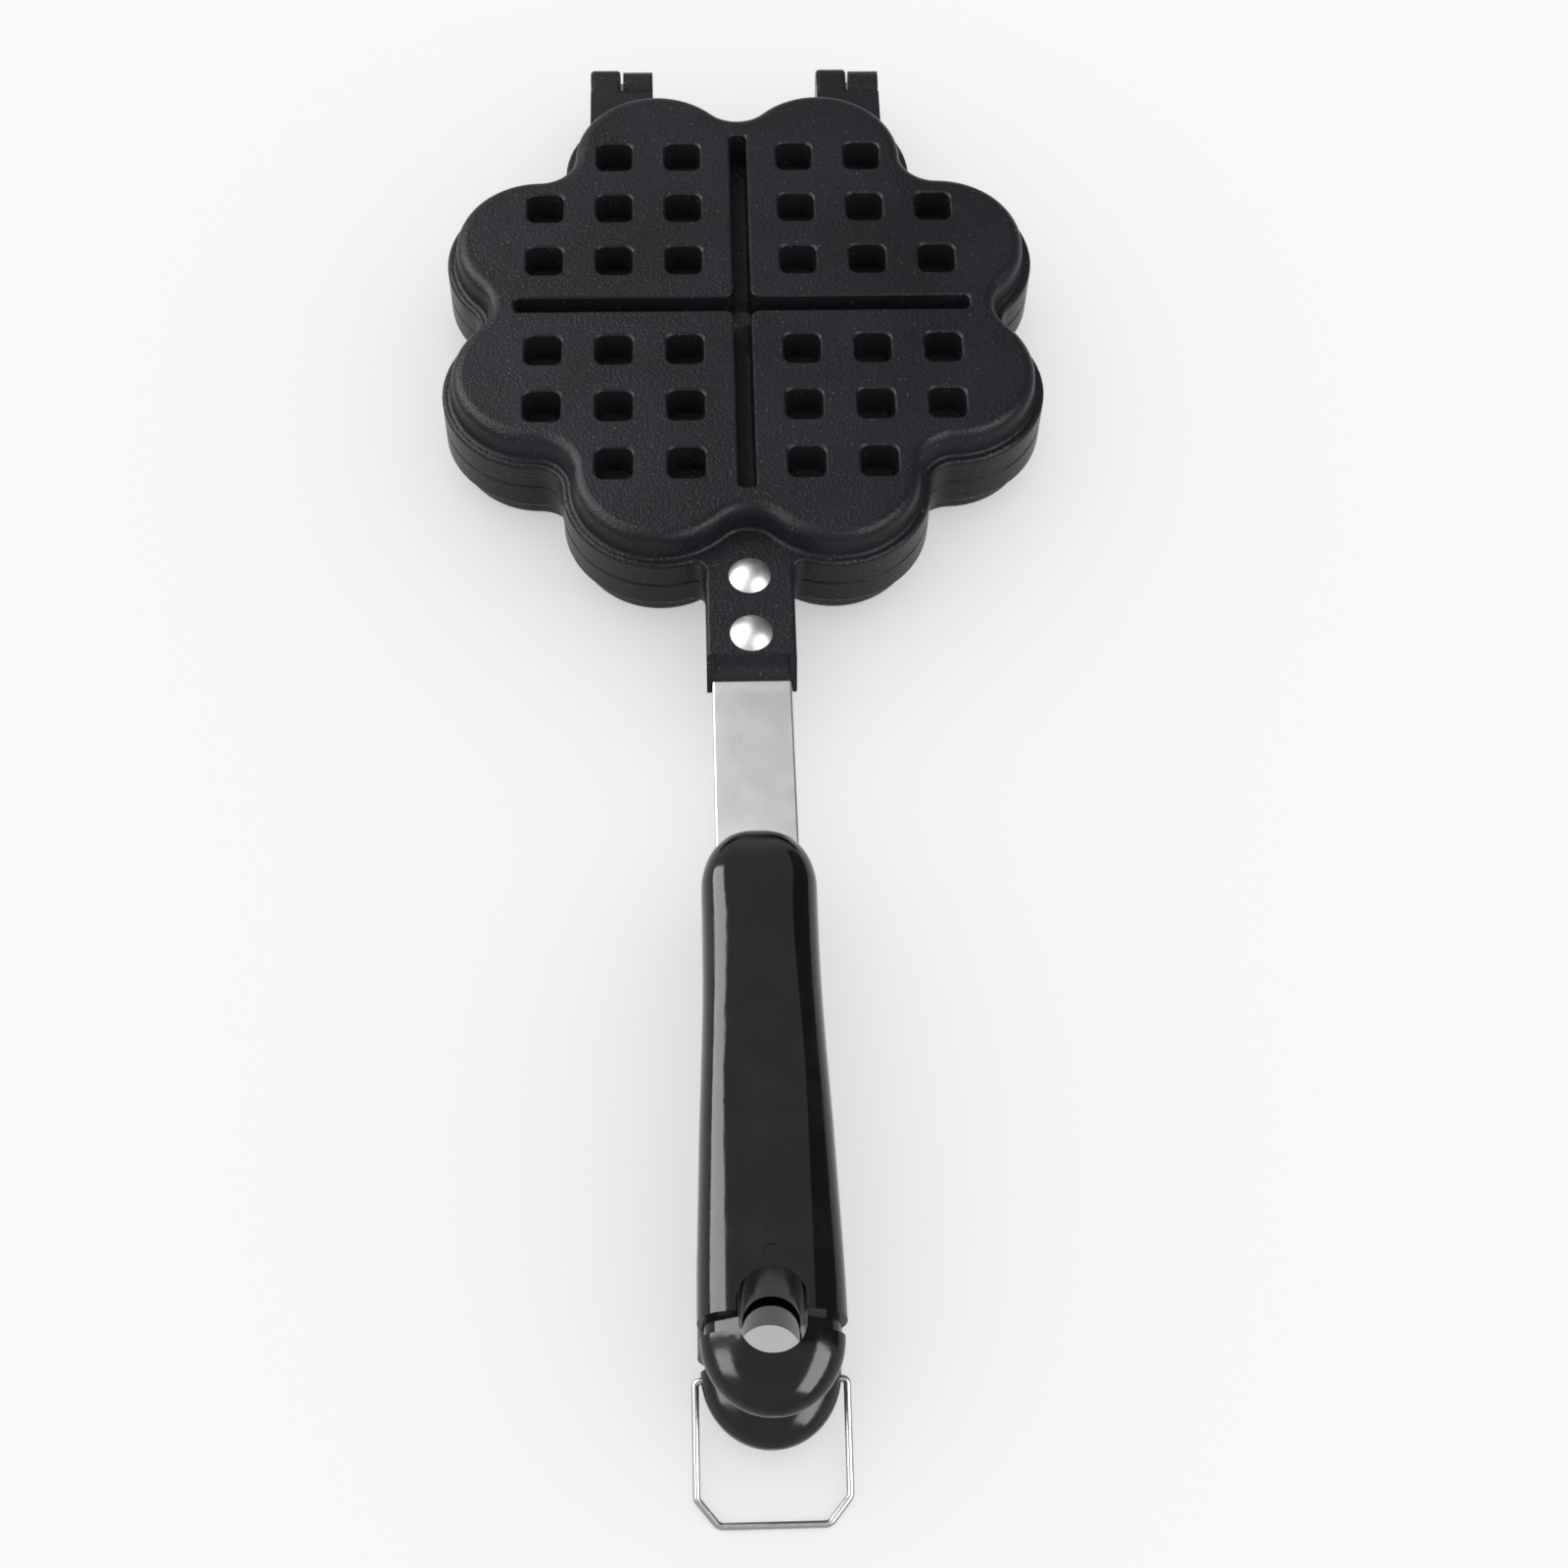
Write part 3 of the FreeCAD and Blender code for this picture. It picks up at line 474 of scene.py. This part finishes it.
def shade_card(radiance):
    """Dim card that only gloss sees: a sheet from over the pan down to the right."""
    near, far = SHADE_ENDS
    (upper_x, upper_z), (lower_x, lower_z) = SHADE_UPPER_EDGE, SHADE_LOWER_EDGE
    upper = [(upper_x, end, upper_z) for end in (near, far)]
    lower = [(lower_x, end, lower_z) for end in (near, far)]
    made, finish = new_material("shade_card")
    glow = finish.node("ShaderNodeEmission", {}, {"Strength": radiance})
    finish.node("ShaderNodeOutputMaterial", {}, {"Surface": glow})
    card = stage_sheet("shade_card", [upper[0], lower[0], lower[1], upper[1]], made)
    card.visible_camera = False
    card.visible_diffuse = False
    card.visible_shadow = False


def camera(settings):
    """Camera at its place, turned by its azimuth, elevation and roll."""
    turn, tilt, roll = settings.azimuth, settings.elevation, settings.roll
    forward = Vector((math.sin(turn), math.cos(turn), 0))
    ahead = forward * math.cos(tilt) - Vector((0, 0, math.sin(tilt)))
    level = Vector((math.cos(turn), -math.sin(turn), 0))
    right = level * math.cos(roll) + level.cross(ahead) * math.sin(roll)
    data = bpy.data.cameras.new("camera")
    data.lens = settings.lens
    made = bpy.data.objects.new("camera", data)
    axes = Matrix((right, right.cross(ahead), -ahead)).transposed().to_4x4()
    made.matrix_world = Matrix.Translation(settings.camera_place) @ axes
    bpy.context.scene.collection.objects.link(made)
    bpy.context.scene.camera = made


# Operators


class PanOperator:
    """What all the pan's operators share."""

    bl_options = {"REGISTER", "UNDO"}


class WAFFLE_OT_castings(PanOperator, bpy.types.Operator):
    """Coat both cast halves"""

    bl_idname = "waffle.castings"
    bl_label = "Castings"

    def execute(self, context):
        dress(of_halves("plate"), coated_casting(context.scene.waffle_casting))
        return {"FINISHED"}


class WAFFLE_OT_grips(PanOperator, bpy.types.Operator):
    """Finish both moulded grips"""

    bl_idname = "waffle.grips"
    bl_label = "Grips"

    def execute(self, context):
        dress(of_halves("grip"), moulded_plastic(context.scene.waffle_grip))
        return {"FINISHED"}


class WAFFLE_OT_straps(PanOperator, bpy.types.Operator):
    """Finish both steel straps"""

    bl_idname = "waffle.straps"
    bl_label = "Straps"

    def execute(self, context):
        dress(of_halves("strap"), sheet_steel(context.scene.waffle_metal))
        return {"FINISHED"}


class WAFFLE_OT_rivets(PanOperator, bpy.types.Operator):
    """Polish the four rivets"""

    bl_idname = "waffle.rivets"
    bl_label = "Rivets"

    def execute(self, context):
        metal = context.scene.waffle_metal
        bright = polished_metal("polished_rivet", metal.rivet_colour, metal.rivet_roughness)
        dress(of_halves("front_rivet", "rear_rivet"), bright)
        return {"FINISHED"}


class WAFFLE_OT_fittings(PanOperator, bpy.types.Operator):
    """Finish the hinge pins and the grips' screws"""

    bl_idname = "waffle.fittings"
    bl_label = "Pins and screws"

    def execute(self, context):
        metal = context.scene.waffle_metal
        plain = polished_metal("plain_steel", metal.wire_colour, metal.fitting_roughness)
        dress(["hinge_pin_left", "hinge_pin_right"] + of_halves("grip_screw"), plain)
        return {"FINISHED"}


class WAFFLE_OT_bail(PanOperator, bpy.types.Operator):
    """Finish the wire bail"""

    bl_idname = "waffle.bail"
    bl_label = "Bail"

    def execute(self, context):
        metal = context.scene.waffle_metal
        dress(["bail"], polished_metal("drawn_wire", metal.wire_colour, metal.wire_roughness))
        return {"FINISHED"}


class WAFFLE_OT_stage(PanOperator, bpy.types.Operator):
    """Make the floor, the room, the lamps and the camera"""

    bl_idname = "waffle.stage"
    bl_label = "Stage"

    def execute(self, context):
        settings = context.scene.waffle_studio
        floor()
        room(settings.ambient)
        lamp("side_lamp", settings.side_light)
        lamp("left_window", settings.window_light)
        lamp("right_window", settings.window_light)
        shade_card(settings.shade)
        camera(settings)
        context.scene.view_settings.view_transform = "Standard"
        return {"FINISHED"}


class WAFFLE_PT_sidebar(bpy.types.Panel):
    """Lists the pan's sizes, colours and operators"""

    bl_idname = "WAFFLE_PT_sidebar"
    bl_label = "Waffle Pan"
    bl_category = "Waffle Pan"
    bl_space_type = "VIEW_3D"
    bl_region_type = "UI"

    def draw(self, context):
        for name, group in SETTINGS.items():
            box = self.layout.box()
            box.label(text=group.__doc__)
            for prop in group.__annotations__:
                box.prop(getattr(context.scene, name), prop)
        for operator in OPERATORS:
            self.layout.operator(operator.bl_idname)


SETTINGS = {
    "waffle_casting": CastingFinish,
    "waffle_grip": GripFinish,
    "waffle_metal": MetalFinish,
    "waffle_studio": Studio,
}
OPERATORS = (
    WAFFLE_OT_castings,
    WAFFLE_OT_grips,
    WAFFLE_OT_straps,
    WAFFLE_OT_rivets,
    WAFFLE_OT_fittings,
    WAFFLE_OT_bail,
    WAFFLE_OT_stage,
)


def register():
    for cls in (*SETTINGS.values(), *OPERATORS, WAFFLE_PT_sidebar):
        bpy.utils.register_class(cls)
    for name, group in SETTINGS.items():
        setattr(bpy.types.Scene, name, PointerProperty(type=group))


def unregister():
    for name in SETTINGS:
        delattr(bpy.types.Scene, name)
    for cls in (WAFFLE_PT_sidebar, *reversed(OPERATORS), *SETTINGS.values()):
        bpy.utils.unregister_class(cls)


def main():
    register()
    bpy.ops.waffle.castings()
    bpy.ops.waffle.grips()
    bpy.ops.waffle.straps()
    bpy.ops.waffle.rivets()
    bpy.ops.waffle.fittings()
    bpy.ops.waffle.bail()
    bpy.ops.waffle.stage()


if __name__ == "__main__":
    main()
